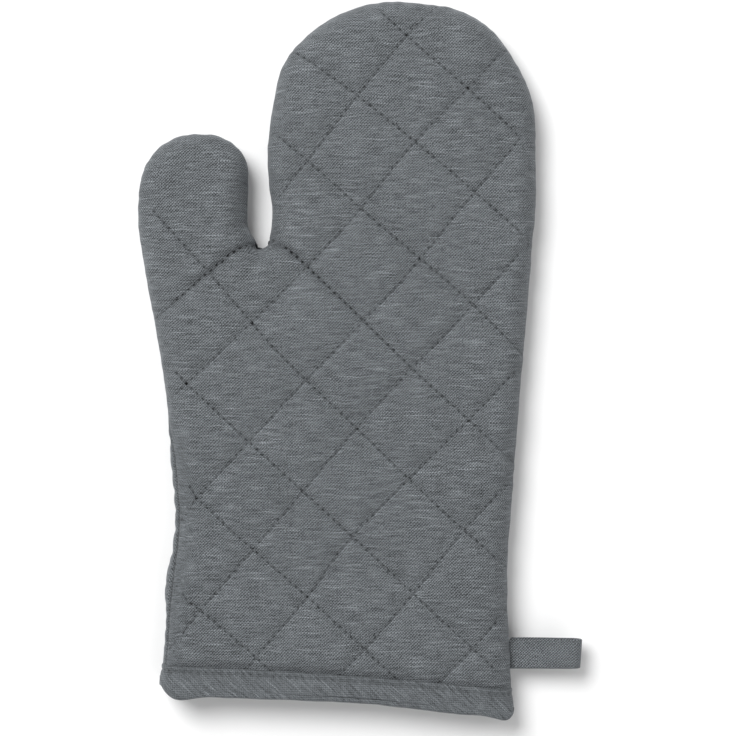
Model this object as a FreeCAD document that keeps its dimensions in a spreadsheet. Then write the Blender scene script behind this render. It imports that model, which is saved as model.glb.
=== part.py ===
import FreeCAD, Part
import math
import os
import Sketcher
from FreeCAD import Placement, Rotation, Vector

# A quilted oven mitt, lying flat. +Z is up, +Y points from the cuff to the fingertips and the
# thumb is on the -X side. The origin is below the middle of the mitt, on the surface that it
# lies on. All sizes are in millimetres.
#
# The front and back panels are mirror images about the seam plane. Each is three layers: shell
# cloth, wadding and lining cloth. Every layer is divided at the two places where the mitt bends,
# across the knuckles and at the root of the thumb, with a strip of the layer in each bend.

# Corners of the mitt's outline at the seam plane, before rounding: name, x, y and corner radius.
# The outline runs past the cuff, where the layers are cut off square.
OUTLINE = [
    ("cuff_outer", 81.0, -186.0, 0.0),
    ("wrist_outer", 69.5, -95.0, 320.0),
    ("side_outer", 71.5, 75.0, 195.0),
    ("shoulder_outer", 68.5, 119.5, 60.0),
    ("tip_outer", 44.0, 157.0, 42.0),
    ("tip_inner", -17.0, 160.5, 59.0),
    ("shoulder_inner", -46.0, 129.5, 34.0),
    ("side_inner", -50.4, 89.0, 120.0),
    ("gap_bulge", -44.4, 57.0, 34.0),
    ("gap_bottom", -48.8, 40.5, 1.6),
    ("thumb_tip_inner", -60.9, 95.0, 19.0),
    ("thumb_tip_outer", -101.8, 92.3, 25.0),
    ("thumb_side", -106.5, 59.3, 66.0),
    ("thumb_root", -88.0, -18.0, 200.0),
    ("wrist_inner", -78.2, -81.0, 230.0),
    ("cuff_inner", -82.5, -186.0, 0.0),
]

DIMENSIONS = {
    # Half of the mitt's thickness, and how far each layer's outer face lies inside the outline
    "half_thickness": 11.0,
    "edge_rounding": 10.5,
    "shell_depth": 0.0,
    "wadding_depth": 0.6,
    "lining_depth": 5.6,
    "cavity_depth": 6.2,
    # Bias binding, folded round the raw edge of the cuff
    "binding_cover": 0.7,
    "cover_depth": -0.7,
    "stitch_depth": -0.3,
    "binding_inner_depth": 6.9,
    "binding_bottom": -159.3,
    "binding_top": -143.3,
    "raw_edge": -158.0,
    # Bend lines: half the width of the strip in each, and where the line lies
    "knuckle_line": 62.0,
    "knuckle_half_width": 8.0,
    "gap_plane": -49.7,
    "thumb_line_x": -49.7,
    "thumb_line_y": 58.5,
    "thumb_line_angle": 41.0,
    "thumb_half_width": 6.5,
    # Quilting: a grid of stitched lines on the flat of both panels
    "quilt_falling_angle": -39.3,
    "quilt_rising_angle": 51.7,
    "quilt_falling_pitch": 35.7,
    "quilt_rising_pitch": 32.7,
    "quilt_x": -9.5,
    "quilt_y": 114.5,
    "thread_width": 0.8,
    "thread_height": 0.4,
    "quilt_border": 11.5,
    # Stitches along the side seam and along the binding
    "seam_thread": 0.35,
    "binding_stitch_inset": 2.5,
    # Hanging loop: a folded tape that stands out of the outer side seam near the cuff
    "loop_pivot_x": 75.4,
    "loop_start_x": 75.8,
    "loop_root_half": 0.35,
    "loop_root_gap": 0.7,
    "loop_tip_x": 105.7,
    "loop_middle_y": -127.0,
    "loop_width": 14.3,
    "loop_tape": 1.3,
    "loop_end_radius": 3.9,
    "loop_tail_length": 7.3,
}

LAYERS = [
    ("shell", "shell_depth", "wadding_depth"),
    ("wadding", "wadding_depth", "lining_depth"),
    ("lining", "lining_depth", "cavity_depth"),
]
SIDES = ["front", "back"]
RIGID_REGIONS = ["palm", "fingers", "thumb"]
FOLD_REGIONS = ["knuckles", "thumb_fold"]
# Blocks that divide the mitt reach this far past it, sideways and up or down
FAR = 260.0
DEEP = 60.0

doc = FreeCAD.newDocument("oven_mitt")
sheet = doc.addObject("Spreadsheet::Sheet", "dims")
nodes = []


def fill_sheet():
    """Put every driving dimension in the sheet, under its own name."""
    rows = dict(DIMENSIONS)
    for name, x, y, radius in OUTLINE:
        rows[name + "_x"] = x
        rows[name + "_y"] = y
        rows[name + "_radius"] = radius
    for number, (alias, value) in enumerate(rows.items(), start=1):
        sheet.set(f"A{number}", alias)
        sheet.set(f"B{number}", str(value))
        sheet.setAlias(f"B{number}", alias)
    doc.recompute()


def dim(alias):
    return float(sheet.get(alias))


def bind(item, **formulas):
    """Bind properties of a document object to cells of the sheet."""
    for prop, formula in formulas.items():
        item.setExpression(prop.replace("__", "."), formula)


def node(item, label):
    item.Label = label
    nodes.append(item)
    return item


def seam_height():
    return dim("half_thickness") + dim("binding_cover")


# --- Outline -----------------------------------------------------------------------------------

def rounded_corner(before, corner, after, radius):
    """Centre of the arc that rounds a corner, and where it meets the two sides."""
    back = (before - corner).normalize()
    ahead = (after - corner).normalize()
    half = back.getAngle(ahead) / 2
    reach = radius / math.tan(half)
    centre = corner + (back + ahead).normalize() * (radius / math.sin(half))
    return corner + back * reach, corner + ahead * reach, centre


def drive(sketch, constraint, formula):
    """Add a dimension to a sketch and let the sheet drive it."""
    made = sketch.addConstraint(constraint)
    sketch.setExpression(f"Constraints[{made}]", formula)


def add_arc(sketch, first, last, centre, radius):
    """Add the arc of a rounded corner, and say which of its ends comes first."""
    start = first - centre
    end = last - centre
    angles = [math.atan2(start.y, start.x), math.atan2(end.y, end.x)]
    turns_left = start.cross(end).z > 0
    if not turns_left:
        angles.reverse()
    circle = Part.Circle(centre, Vector(0, 0, 1), radius)
    arc = sketch.addGeometry(Part.ArcOfCircle(circle, *angles), False)
    return (arc, 1, 2) if turns_left else (arc, 2, 1)


def outline_face():
    """The mitt's outline, filled in: straight sides between rounded corners, all driven by the sheet."""
    corners = [Vector(x, y, 0) for _, x, y, _ in OUTLINE]
    count = len(corners)
    ends = []
    for index, (_, _, _, radius) in enumerate(OUTLINE):
        corner = corners[index]
        if radius == 0:
            ends.append((corner, corner, None))
        else:
            after = corners[(index + 1) % count]
            ends.append(rounded_corner(corners[index - 1], corner, after, radius))
    sketch = doc.addObject("Sketcher::SketchObject", "mitt_outline")
    sides = []
    for index in range(count):
        line = Part.LineSegment(ends[index][1], ends[(index + 1) % count][0])
        sides.append(sketch.addGeometry(line, False))
    for index, (name, x, y, radius) in enumerate(OUTLINE):
        before = sides[index - 1]
        after = sides[index]
        if radius == 0:
            sketch.addConstraint(Sketcher.Constraint("Coincident", before, 2, after, 1))
            point = after
        else:
            arc, near, far = add_arc(sketch, *ends[index], radius)
            sketch.addConstraint(Sketcher.Constraint("Tangent", before, 2, arc, near))
            sketch.addConstraint(Sketcher.Constraint("Tangent", arc, far, after, 1))
            point = sketch.addGeometry(Part.Point(corners[index]), True)
            sketch.addConstraint(Sketcher.Constraint("PointOnObject", point, 1, before))
            sketch.addConstraint(Sketcher.Constraint("PointOnObject", point, 1, after))
            drive(sketch, Sketcher.Constraint("Radius", arc, radius), f"dims.{name}_radius")
        drive(sketch, Sketcher.Constraint("DistanceX", -1, 1, point, 1, x), f"dims.{name}_x")
        drive(sketch, Sketcher.Constraint("DistanceY", -1, 1, point, 1, y), f"dims.{name}_y")
    sketch.Placement = Placement(Vector(0, 0, seam_height()), Rotation())
    bind(sketch, Placement__Base__z="dims.half_thickness + dims.binding_cover")
    face = doc.addObject("Part::Face", "mitt_face")
    face.Sources = [sketch]
    doc.recompute()
    return face


# --- Layers ------------------------------------------------------------------------------------

def inset_outline(outline, name, depth_alias):
    """The outline moved inwards by a depth, or outwards where the depth is negative."""
    if dim(depth_alias) == 0:
        return outline
    inset = doc.addObject("Part::Offset2D", name)
    inset.Source = outline
    inset.Mode = "Skin"
    inset.Join = "Arc"
    inset.Fill = False
    bind(inset, Value=f"-dims.{depth_alias}")
    return inset


def extrude(profile, name, formula):
    solid = doc.addObject("Part::Extrusion", name)
    solid.Base = profile
    solid.DirMode = "Custom"
    solid.Dir = Vector(0, 0, 1)
    solid.Solid = True
    bind(solid, LengthFwd=formula)
    doc.recompute()
    return solid


def dome(outline, depth_alias, beyond_cuff):
    """Upper half of the mitt, filled in, with every face inside the outer one by a depth."""
    stem = depth_alias.replace("_depth", "")
    inset = inset_outline(outline, stem + "_edge", depth_alias)
    full = extrude(inset, stem + "_full_block", f"dims.half_thickness - dims.{depth_alias}")
    block = cut(full, beyond_cuff, stem + "_block")
    doc.recompute()
    radius = dim("edge_rounding") - dim(depth_alias)
    top = block.Shape.BoundBox.ZMax
    cuff = block.Shape.BoundBox.YMin
    chosen = []
    for number, edge in enumerate(block.Shape.Edges, start=1):
        box = edge.BoundBox
        at_cuff = box.YMax < cuff + 1
        if box.ZMin > top - 0.01 and not at_cuff:
            chosen.append((number, radius, radius))
    rounded = doc.addObject("Part::Fillet", stem + "_dome")
    rounded.Base = block
    rounded.Edges = chosen
    doc.recompute()
    return rounded


def cut(base, tool, name):
    result = doc.addObject("Part::Cut", name)
    result.Base = base
    result.Tool = tool
    return result


def common(first, second, name):
    result = doc.addObject("Part::Common", name)
    result.Base = first
    result.Tool = second
    return result


def fuse(items, name):
    result = doc.addObject("Part::MultiFuse", name)
    result.Shapes = items
    return result


def mirror(item, name):
    """The same thing on the other side of the seam plane."""
    result = doc.addObject("Part::Mirroring", name)
    result.Source = item
    result.Base = Vector(0, 0, seam_height())
    result.Normal = Vector(0, 0, 1)
    return result


# --- Regions -----------------------------------------------------------------------------------

def region_box(name, x, y, length, width):
    """A block through the whole thickness. Places and sizes are formulas of the sheet."""
    box = doc.addObject("Part::Box", name)
    box.Placement = Placement(Vector(0, 0, -DEEP), Rotation())
    bind(box, Placement__Base__x=x, Placement__Base__y=y, Length=length, Width=width)
    box.Height = 3 * DEEP
    return box


def half_plane(name, top):
    """Everything below a line across the mitt, parallel to the cuff."""
    return region_box(name, f"-{FAR}", f"{top} - {FAR}", f"{2 * FAR}", f"{FAR}")


def tilted_box(name, low, high):
    """A block between two distances from the thumb's bend line, measured towards the thumb."""
    angle = math.radians(dim("thumb_line_angle"))
    across = Vector(-math.sin(angle), math.cos(angle), 0)
    along = Vector(math.cos(angle), math.sin(angle), 0)
    on_line = Vector(dim("thumb_line_x"), dim("thumb_line_y"), -DEEP)
    box = doc.addObject("Part::Box", name)
    box.Length = 2 * FAR
    box.Width = high - low
    box.Height = 3 * DEEP
    turn = Rotation(Vector(0, 0, 1), dim("thumb_line_angle"))
    box.Placement = Placement(on_line + across * low - along * FAR, turn)
    return box


def make_regions():
    """One solid for each part of the mitt between its bends, and one for each bend."""
    gap = "dims.gap_plane"
    upper = "dims.knuckle_line + dims.knuckle_half_width"
    lower = "dims.knuckle_line - dims.knuckle_half_width"
    fingers = region_box("fingers_region", gap, upper, f"{FAR}", f"{FAR}")
    knuckles = region_box("knuckles_region", gap, lower, f"{FAR}", "2 * dims.knuckle_half_width")
    thumb_side = region_box("thumb_side_region", f"{gap} - {FAR}", f"-{FAR}", f"{FAR}", f"{2 * FAR}")
    whole = region_box("whole_region", f"-{FAR}", "dims.raw_edge", f"{2 * FAR}", f"{2 * FAR}")
    half = dim("thumb_half_width")
    beyond = tilted_box("beyond_thumb_line", half, FAR)
    strip = tilted_box("thumb_line_strip", -half, half)
    thumb = common(beyond, thumb_side, "thumb_region")
    thumb_fold = common(strip, thumb_side, "thumb_fold_region")
    palm = cut(whole, fuse([fingers, knuckles, thumb, thumb_fold], "bending_regions"), "palm_region")
    doc.recompute()
    return {
        "palm": palm,
        "knuckles": knuckles,
        "fingers": fingers,
        "thumb_fold": thumb_fold,
        "thumb": thumb,
    }


def make_layers(domes, regions):
    """Shell, wadding and lining of both panels, divided at the bends."""
    for layer, outer, inner in LAYERS:
        front = cut(domes[outer], domes[inner], f"whole_front_{layer}")
        halves = {"front": front, "back": mirror(front, f"whole_back_{layer}")}
        for side in SIDES:
            for region, block in regions.items():
                piece = common(halves[side], block, f"{side}_{layer}_{region}_solid")
                node(piece, f"{side}_{layer}_{region}")
    doc.recompute()


# --- Threads -----------------------------------------------------------------------------------

def quilting_bars(direction):
    """Parallel lines of quilting in one direction, wide enough apart to leave its diamonds."""
    angle = dim(f"quilt_{direction}_angle")
    pitch = dim(f"quilt_{direction}_pitch")
    turn = Rotation(Vector(0, 0, 1), angle)
    across = turn.multVec(Vector(0, 1, 0))
    along = turn.multVec(Vector(1, 0, 0))
    crossing = Vector(dim("quilt_x"), dim("quilt_y"), seam_height() + dim("half_thickness"))
    reach = math.ceil(FAR / pitch)
    bars = []
    for number in range(-reach, reach + 1):
        bar = doc.addObject("Part::Box", f"{direction}_line")
        bar.Length = 2 * FAR
        bind(bar, Width="dims.thread_width", Height="dims.thread_height")
        offset = across * (number * pitch - dim("thread_width") / 2)
        bar.Placement = Placement(crossing + offset - along * FAR, turn)
        bars.append(bar)
    return bars


def make_quilting(outline, regions, below_binding):
    """Quilting thread on the flat of each panel, clear of the bends and the binding."""
    edge = inset_outline(outline, "quilt_edge", "quilt_border")
    flat = extrude(edge, "quilt_area", "3 * dims.half_thickness")
    lines = fuse(quilting_bars("falling") + quilting_bars("rising"), "quilting_lines")
    inside = common(lines, flat, "quilting_inside")
    front = cut(inside, below_binding, "whole_front_quilting")
    halves = {"front": front, "back": mirror(front, "whole_back_quilting")}
    for side in SIDES:
        for region in RIGID_REGIONS:
            piece = common(halves[side], regions[region], f"{side}_quilting_{region}_solid")
            node(piece, f"{side}_quilting_{region}")
    doc.recompute()


def make_seam_stitching(outline, regions, below_binding):
    """The line of stitches where the two panels meet, all round the mitt but for the cuff."""
    outer = doc.addObject("Part::Offset2D", "seam_thread_edge")
    outer.Source = outline
    outer.Mode = "Skin"
    outer.Join = "Arc"
    bind(outer, Value="dims.seam_thread")
    band = cut(
        extrude(outer, "seam_thread_block", "dims.seam_thread"),
        extrude(outline, "seam_inner_block", "dims.seam_thread"),
        "seam_thread_band",
    )
    under_loop = region_box(
        "under_loop_region",
        "0",
        "dims.loop_middle_y - dims.loop_width / 2 - dims.seam_thread",
        f"{FAR}",
        "dims.loop_width + 2 * dims.seam_thread",
    )
    upper = cut(band, fuse([below_binding, under_loop], "seam_thread_breaks"), "upper_seam_thread")
    whole = fuse([upper, mirror(upper, "lower_seam_thread")], "whole_seam_thread")
    for region in RIGID_REGIONS:
        piece = common(whole, regions[region], f"side_seam_stitching_{region}_solid")
        node(piece, f"side_seam_stitching_{region}")
    doc.recompute()


# --- Binding -----------------------------------------------------------------------------------

def cuff_slab(name, low, high):
    return region_box(name, f"-{FAR}", low, f"{2 * FAR}", f"({high}) - ({low})")


def make_binding(domes):
    """Bias tape folded over the cuff's raw edge, all round the opening, and its topstitching."""
    tape_slab = cuff_slab("binding_slab", "dims.binding_bottom", "dims.binding_top")
    band = common(domes["cover_depth"], tape_slab, "binding_band")
    hollow = cut(band, domes["binding_inner_depth"], "hollow_band")
    wall = cut(domes["shell_depth"], domes["cavity_depth"], "cuff_wall")
    covered = common(wall, cuff_slab("raw_edge_slab", "dims.raw_edge", "dims.binding_top"), "covered_wall")
    folded = cut(hollow, covered, "folded_binding")
    groove = common(
        cut(domes["cover_depth"], domes["stitch_depth"], "stitch_skin"),
        cuff_slab(
            "stitch_slab",
            "dims.binding_top - dims.binding_stitch_inset",
            "dims.binding_top - dims.binding_stitch_inset + dims.thread_width",
        ),
        "front_stitches",
    )
    front = cut(folded, groove, "front_binding")
    node(fuse([front, mirror(front, "back_binding")], "binding_solid"), "cuff_binding")
    node(fuse([groove, mirror(groove, "back_stitches")], "stitching_solid"), "binding_stitching")
    doc.recompute()


# --- Hanging loop ------------------------------------------------------------------------------

def origin_plane(body, role):
    return next(item for item in body.Origin.OriginFeatures if item.Role == role)


def teardrop(sketch, start, half_start, centre, radius):
    """Two lines from a narrow end, tangent to a round end. All in the sketch's own plane."""
    apex_distance = centre - start
    lean = math.asin((radius - half_start) / apex_distance)
    touch = Vector(centre - radius * math.sin(lean), radius * math.cos(lean), 0)
    upper = Part.LineSegment(Vector(start, half_start, 0), touch)
    lower = Part.LineSegment(Vector(touch.x, -touch.y, 0), Vector(start, -half_start, 0))
    angle = math.atan2(touch.y, touch.x - centre)
    arc = Part.ArcOfCircle(Part.Circle(Vector(centre, 0, 0), Vector(0, 0, 1), radius), -angle, angle)
    first = sketch.addGeometry(upper, False)
    round_end = sketch.addGeometry(arc, False)
    last = sketch.addGeometry(lower, False)
    sketch.addConstraint(Sketcher.Constraint("Tangent", first, 2, round_end, 2))
    sketch.addConstraint(Sketcher.Constraint("Tangent", round_end, 1, last, 1))
    return first, round_end, last


def make_loop():
    """A tape folded into a flat loop. It is thin at its root, where it bends, and its two ends go
    on into the side seam."""
    start = dim("loop_start_x")
    root = dim("loop_root_half")
    tape = dim("loop_tape")
    radius = dim("loop_end_radius")
    centre = dim("loop_tip_x") - radius
    body = doc.addObject("PartDesign::Body", "loop_body")
    profile = body.newObject("Sketcher::SketchObject", "loop_profile")
    profile.AttachmentSupport = [(origin_plane(body, "XZ_Plane"), "")]
    profile.MapMode = "FlatFace"
    first, round_end, last = teardrop(profile, start, root, centre, radius)
    base = profile.addGeometry(Part.LineSegment(Vector(start, -root, 0), Vector(start, root, 0)), False)
    profile.addConstraint(Sketcher.Constraint("Coincident", last, 2, base, 1))
    profile.addConstraint(Sketcher.Constraint("Coincident", base, 2, first, 1))
    profile.addConstraint(Sketcher.Constraint("Symmetric", base, 1, base, 2, -1))
    drive(profile, Sketcher.Constraint("DistanceX", -1, 1, base, 1, start), "dims.loop_start_x")
    drive(profile, Sketcher.Constraint("DistanceY", base, 1, base, 2, 2 * root), "2 * dims.loop_root_half")
    profile.addConstraint(Sketcher.Constraint("PointOnObject", round_end, 3, -1))
    drive(
        profile,
        Sketcher.Constraint("DistanceX", -1, 1, round_end, 3, centre),
        "dims.loop_tip_x - dims.loop_end_radius",
    )
    drive(profile, Sketcher.Constraint("Radius", round_end, radius), "dims.loop_end_radius")
    pad = body.newObject("PartDesign::Pad", "loop_pad")
    pad.Profile = profile
    pad.Midplane = True
    bind(pad, Length="dims.loop_width")
    doc.recompute()

    gap = body.newObject("Sketcher::SketchObject", "loop_gap_profile")
    gap.AttachmentSupport = [(origin_plane(body, "XZ_Plane"), "")]
    gap.MapMode = "FlatFace"
    point = start + 5
    inner = radius - tape
    upper, inner_end, lower = teardrop(gap, point, 0.0, centre, inner)
    gap.addConstraint(Sketcher.Constraint("Coincident", lower, 2, upper, 1))
    gap.addConstraint(Sketcher.Constraint("PointOnObject", upper, 1, -1))
    gap.addConstraint(Sketcher.Constraint("PointOnObject", inner_end, 3, -1))
    drive(gap, Sketcher.Constraint("DistanceX", -1, 1, upper, 1, point), "dims.loop_start_x + 5")
    drive(
        gap,
        Sketcher.Constraint("DistanceX", -1, 1, inner_end, 3, centre),
        "dims.loop_tip_x - dims.loop_end_radius",
    )
    drive(gap, Sketcher.Constraint("Radius", inner_end, inner), "dims.loop_end_radius - dims.loop_tape")
    pocket = body.newObject("PartDesign::Pocket", "loop_pocket")
    pocket.Profile = gap
    pocket.Type = "Length"
    pocket.Midplane = True
    bind(pocket, Length="2 * dims.loop_width")
    body.Placement = Placement(Vector(0, dim("loop_middle_y"), seam_height()), Rotation())
    bind(
        body,
        Placement__Base__y="dims.loop_middle_y",
        Placement__Base__z="dims.half_thickness + dims.binding_cover",
    )
    node(body, "hanging_loop")

    tail = doc.addObject("Part::Box", "loop_tail_solid")
    tail.Placement = Placement(Vector(0, 0, 0), Rotation())
    bind(
        tail,
        Length="dims.loop_tail_length",
        Width="dims.loop_width",
        Height="2 * dims.loop_tape",
        Placement__Base__x="dims.loop_pivot_x - dims.loop_root_gap - dims.loop_tail_length",
        Placement__Base__y="dims.loop_middle_y - dims.loop_width / 2",
        Placement__Base__z="dims.half_thickness + dims.binding_cover - dims.loop_tape",
    )
    node(tail, "loop_tail")
    doc.recompute()


# --- Checks and export -------------------------------------------------------------------------

def check():
    """Stop before anything is written if an object failed or a solid isn't whole."""
    for item in doc.Objects:
        if "Invalid" in item.State or "Error" in item.State:
            raise RuntimeError(f"{item.Label} failed: {item.State}")
    for item in nodes:
        shape = item.Shape
        if shape.isNull() or not shape.isValid() or not shape.Solids or shape.Volume <= 0:
            raise RuntimeError(f"{item.Label} is not a valid solid")


def export():
    os.makedirs("parts", exist_ok=True)
    for item in nodes:
        item.Shape.exportStep(f"parts/{item.Label}.step")
        print(f"{item.Label}: {len(item.Shape.Solids)} solid(s), {item.Shape.Volume:.0f} mm3")
    whole = FreeCAD.BoundBox()
    for item in nodes:
        whole.add(item.Shape.BoundBox)
    print(f"x {whole.XMin:.2f} to {whole.XMax:.2f}, y {whole.YMin:.2f} to {whole.YMax:.2f}")
    print(f"z {whole.ZMin:.2f} to {whole.ZMax:.2f}")


fill_sheet()
mitt_outline = outline_face()
depths = ["cover_depth", "stitch_depth", "shell_depth", "wadding_depth", "lining_depth", "cavity_depth"]
spare = half_plane("spare_region", "dims.binding_bottom - 10")
domes = {alias: dome(mitt_outline, alias, spare) for alias in depths + ["binding_inner_depth"]}
regions = make_regions()
make_layers(domes, regions)
binding_region = half_plane("binding_region", "dims.binding_top")
make_quilting(mitt_outline, regions, binding_region)
make_seam_stitching(mitt_outline, regions, binding_region)
make_binding(domes)
make_loop()
check()
export()
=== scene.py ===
import math

import bmesh
import bpy
import numpy as np
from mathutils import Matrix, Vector, noise
from mathutils.bvhtree import BVHTree
from mathutils.geometry import delaunay_2d_cdt
from mathutils.kdtree import KDTree


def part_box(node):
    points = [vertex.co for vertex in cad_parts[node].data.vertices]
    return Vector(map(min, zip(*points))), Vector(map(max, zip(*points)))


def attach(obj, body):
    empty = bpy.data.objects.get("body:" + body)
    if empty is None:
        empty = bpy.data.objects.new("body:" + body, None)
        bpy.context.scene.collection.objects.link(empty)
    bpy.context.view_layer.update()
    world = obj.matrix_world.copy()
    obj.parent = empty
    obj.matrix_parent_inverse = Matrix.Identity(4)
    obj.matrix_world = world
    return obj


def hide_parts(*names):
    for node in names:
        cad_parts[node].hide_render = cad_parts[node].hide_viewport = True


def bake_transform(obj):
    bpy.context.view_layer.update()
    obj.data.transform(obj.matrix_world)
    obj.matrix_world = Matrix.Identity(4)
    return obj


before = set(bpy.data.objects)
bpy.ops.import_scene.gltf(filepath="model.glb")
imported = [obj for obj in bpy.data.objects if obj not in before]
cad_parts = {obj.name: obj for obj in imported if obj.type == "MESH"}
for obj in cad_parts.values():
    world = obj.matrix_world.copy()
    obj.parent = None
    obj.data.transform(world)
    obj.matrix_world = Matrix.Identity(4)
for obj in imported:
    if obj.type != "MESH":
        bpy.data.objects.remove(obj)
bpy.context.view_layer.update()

MM = 0.001
QUARTER = math.pi / 2


def box_mm(node):
    """Lowest and highest corner of a CAD node, in millimetres."""
    low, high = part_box(node)
    return np.array(low) / MM, np.array(high) / MM


# --- Places taken from the frame ---

binding_low, binding_high = box_mm("cuff_binding")
shell_low, shell_high = box_mm("front_shell_palm")
loop_low, loop_high = box_mm("hanging_loop")
tail_low, tail_high = box_mm("loop_tail")

SEAM_Z = (binding_low[2] + binding_high[2]) / 2
HALF = shell_high[2] - SEAM_Z
RAW_EDGE = shell_low[1]
BINDING_TOP = binding_high[1]
BINDING_BOTTOM = binding_low[1]

# --- The outline, repeated from the CAD source: x, y and corner radius ---

OUTLINE = [
    (81.0, -186.0, 0),
    (69.5, -95.0, 320),
    (71.5, 75.0, 195),
    (68.5, 119.5, 60),
    (44.0, 157.0, 42),
    (-17.0, 160.5, 59),
    (-46.0, 129.5, 34),
    (-50.4, 89.0, 120),
    (-44.4, 57.0, 34),
    (-48.8, 40.5, 1.6),
    (-60.9, 95.0, 19),
    (-101.8, 92.3, 25),
    (-106.5, 59.3, 66),
    (-88.0, -18.0, 200),
    (-78.2, -81.0, 230),
    (-82.5, -186.0, 0),
]
EDGE_RADIUS = 10.5

# --- Quilting and folds: a few points through which each stitched line runs ---

FALLING_LINES = [
    [(-4, 154), (9, 143), (37, 122), (62, 102)],
    [(-47, 137), (-11, 115), (22, 92), (45, 75), (70, 56)],
    [(-50, 98), (-30, 84), (1, 60), (39, 32), (71, 5)],
    [(-47, 50), (-35, 43.5), (-9, 22), (24, -6), (48, -25), (70, -43)],
    [(-102, 62), (-71, 32), (-38, -1), (0, -33), (38, -65), (72, -91)],
    [(-88, -9), (-50, -40), (0, -80), (43, -115), (72, -138)],
    [(-80, -59), (-56, -79), (-18, -108), (22, -140), (30, -147)],
    [(-80, -107), (-58, -122), (-38, -137), (-26, -147)],
]
RISING_LINES = [
    [(22, 158), (9, 143), (-11, 115), (-31, 85), (-46, 64)],
    [(55, 142), (37, 121), (14, 94), (-10, 60), (-40, 24), (-69, -8), (-88, -28)],
    [(64, 103), (43, 75), (12, 32), (-25, -12), (-63, -59), (-80, -79)],
    [(71, 57), (39, 17), (4, -25), (-31, -72), (-64, -116), (-79, -137)],
    [(71, 2), (47, -26), (0, -80), (-18, -108), (-47, -147)],
    [(71, -48), (49, -74), (29, -103), (9, -129), (-6, -147)],
    [(72, -106), (57, -125), (38, -147)],
]
# Where the thumb joins the palm: a stitched line, and the line along which the panels are divided
CREASE = [(-52, 46.5), (-60, 43), (-71, 33), (-86, 18), (-94, 10.5)]
# The cloth folds deep along the two lines that start beside the crotch, and puckers below it
DEEP_FOLDS = [
    [(-46, 47.5), (-40, 45.5), (-35, 43.5), (-9, 22), (24, -6), (48, -25)],
    [(-50.5, 45.5), (-54.5, 45.5), (-60, 43), (-71, 33), (-86, 18)],
]
PUCKERS = [[(-50, 41), (-54, 34), (-60, 25)], [(-53, 42), (-61, 36), (-68, 27)]]

STITCH_PITCH = 3.3
STITCH_LENGTH = 2.1
THREAD_RADIUS = 0.26
SEAM_PITCH = 2.6
CLOTH = 0.6
GRAIN = math.radians(3.9)

# --- Small helpers: unit vectors, smooth steps, bells and smooth noise ---


def unit(vector):
    return vector / np.linalg.norm(vector)


def unit_rows(vectors):
    return vectors / np.linalg.norm(vectors, axis=1)[:, None]


def smoothstep(low, high, value):
    share = np.clip((value - low) / (high - low), 0, 1)
    return share * share * (3 - 2 * share)


def bell(value, width):
    return np.exp(-((value / width) ** 2))


def wander(points, size, seed):
    """Smooth random values from about -1 to 1 that change over a distance of size."""
    rows = np.asarray(points, float)
    if rows.shape[1] == 2:
        rows = np.column_stack([rows, np.zeros(len(rows))])
    return np.array([noise.noise(Vector(row / size) + Vector((seed, -seed, 0.37))) for row in rows])


# --- Lines in the plane of the mitt ---

def lengths_along(curve):
    steps = np.linalg.norm(np.diff(curve, axis=0), axis=1)
    return np.concatenate([[0], np.cumsum(steps)])


def follow(curve, lengths, marks):
    """The places on a curve at some distances along it."""
    return np.stack([np.interp(marks, lengths, column) for column in curve.T], axis=-1)


def resample(curve, step):
    """The same curve as points about one step apart."""
    lengths = lengths_along(curve)
    marks = np.linspace(0, lengths[-1], max(2, round(lengths[-1] / step) + 1))
    return follow(curve, lengths, marks)


def smooth_line(points, step):
    """A smooth curve through a few points."""
    ends = np.array(points, float)
    ends = np.vstack([2 * ends[0] - ends[1], ends, 2 * ends[-1] - ends[-2]])
    t = np.linspace(0, 1, 24, endpoint=False)[:, None]
    spans = []
    for a, b, c, d in zip(ends, ends[1:], ends[2:], ends[3:]):
        cubic = (3 * b - a - 3 * c + d) * t**3
        square = (2 * a - 5 * b + 4 * c - d) * t**2
        spans.append((2 * b + (c - a) * t + square + cubic) / 2)
    return resample(np.vstack(spans + [ends[-2:-1]]), step)


class Lines:
    """Several lines, asked how far a point is from the nearest one and how far along it lies."""

    def __init__(self, curves):
        self.starts = np.vstack([curve[:-1] for curve in curves])
        self.ends = np.vstack([curve[1:] for curve in curves])
        self.before = np.concatenate([lengths_along(curve)[:-1] for curve in curves])

    def nearest(self, points):
        """Distance to the nearest line, and the distance along that line, for each point."""
        spans = self.ends - self.starts
        squares = (spans**2).sum(1)
        distances, along = [], []
        for few in np.array_split(points, max(1, len(points) // 4000)):
            from_start = few[:, None, :] - self.starts
            share = np.clip((from_start * spans).sum(2) / squares, 0, 1)
            gaps = ((from_start - share[:, :, None] * spans) ** 2).sum(2)
            best = gaps.argmin(1)
            rows = np.arange(len(few))
            distances.append(np.sqrt(gaps[rows, best]))
            along.append(self.before[best] + share[rows, best] * np.sqrt(squares[best]))
        return np.concatenate(distances), np.concatenate(along)


def inside(points, polygon):
    """Which points lie inside a closed polygon."""
    x, y = points[:, 0, None], points[:, 1, None]
    ax, ay = polygon.T
    bx, by = np.roll(polygon, -1, axis=0).T
    crosses = (ay > y) != (by > y)
    at = ax + (y - ay) * (bx - ax) / np.where(by == ay, 1, by - ay)
    return (crosses & (x < at)).sum(1) % 2 == 1


# --- The seam line ---

RIM_STEP = 1.8
RIM_WIDTH = EDGE_RADIUS / 2
CROTCH_POINT = (-48.6, 46.0)
FALLING_CURVES = [smooth_line(points, 5) for points in FALLING_LINES]
RISING_CURVES = [smooth_line(points, 5) for points in RISING_LINES]
CREASE_CURVE = smooth_line(CREASE, 5)
FALLING = Lines(FALLING_CURVES)
RISING = Lines(RISING_CURVES + [CREASE_CURVE])
FOLDS = Lines([smooth_line(points, 3) for points in DEEP_FOLDS])
CROTCH = Lines([smooth_line(points, 3) for points in PUCKERS])


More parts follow.
